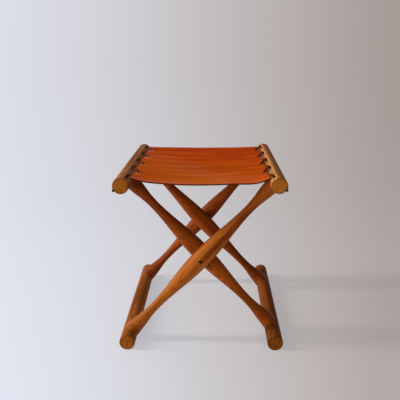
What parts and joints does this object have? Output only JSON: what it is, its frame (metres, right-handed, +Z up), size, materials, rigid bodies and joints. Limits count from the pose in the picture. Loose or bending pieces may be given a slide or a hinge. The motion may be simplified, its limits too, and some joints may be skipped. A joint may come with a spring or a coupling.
{
  "type": "folding camp stool",
  "caption": "Folding X-frame camp stool: turned wooden legs on round rails, crossed on pivot bolts, with a leather seat laced to the top rails.",
  "frame": {"origin": "on the floor at the centre of the footprint", "axes": "+Z up, +Y along the rails towards the back, +X across the stool towards the outer frame's top rail"},
  "size_m": [0.3686, 0.43, 0.3852],
  "materials": {
    "rail_wood": "oiled hardwood, satin",
    "outer_leg_wood": "oiled hardwood, satin",
    "inner_leg_wood": "oiled hardwood, satin",
    "seat_leather": "thick vegetable-tanned cognac leather",
    "lace": "dark waxed lace",
    "lace_rod": "darkened metal",
    "pivot_metal": "darkened metal"
  },
  "bodies": {
    "outer_frame": {"top_rail_right": "rail_wood", "bottom_rail_left": "rail_wood", "outer_leg_front": "outer_leg_wood", "outer_leg_back": "outer_leg_wood", "pivot_bolt_front": "pivot_metal", "pivot_bolt_back": "pivot_metal", "spacer_washer_front": "pivot_metal", "spacer_washer_back": "pivot_metal", "end_washer_front": "pivot_metal", "end_washer_back": "pivot_metal", "pivot_nut_front": "pivot_metal", "pivot_nut_back": "pivot_metal", "lace_loops_right": "lace", "lace_rod_right": "lace_rod"},
    "inner_frame": {"top_rail_left": "rail_wood", "bottom_rail_right": "rail_wood", "inner_leg_front": "inner_leg_wood", "inner_leg_back": "inner_leg_wood", "pivot_plug_front": "inner_leg_wood", "pivot_plug_back": "inner_leg_wood", "lace_loops_left": "lace", "lace_rod_left": "lace_rod"},
    "seat_right": {"seat_leather_right": "seat_leather", "lace_strands_right": "lace"},
    "seat_left": {"seat_leather_left": "seat_leather", "lace_strands_left": "lace"}
  },
  "joints": [
    {"name": "fold", "type": "hinge", "parent": "outer_frame", "child": "inner_frame", "pos_m": [0, 0, 0.19202], "axis": [0, 1, 0], "range_deg": [0, 66]},
    {"name": "seat_lift", "type": "hinge", "parent": "outer_frame", "child": "seat_right", "pos_m": [0.15005, 0, 0.3824], "axis": [0, 1, 0], "range_deg": [0, 122.5], "deforming": ["seat_leather_right", "lace_strands_right"]},
    {"name": "seat_crease", "type": "hinge", "parent": "seat_right", "child": "seat_left", "pos_m": [0, 0, 0.36202], "axis": [0, 1, 0], "range_deg": [-179, 0], "deforming": ["seat_leather_left", "lace_strands_left"]}
  ],
  "couplings": [
    {"joint": "seat_lift", "follows": "fold", "ratio": 1.8534},
    {"joint": "seat_crease", "follows": "fold", "ratio": -2.7067}
  ]
}
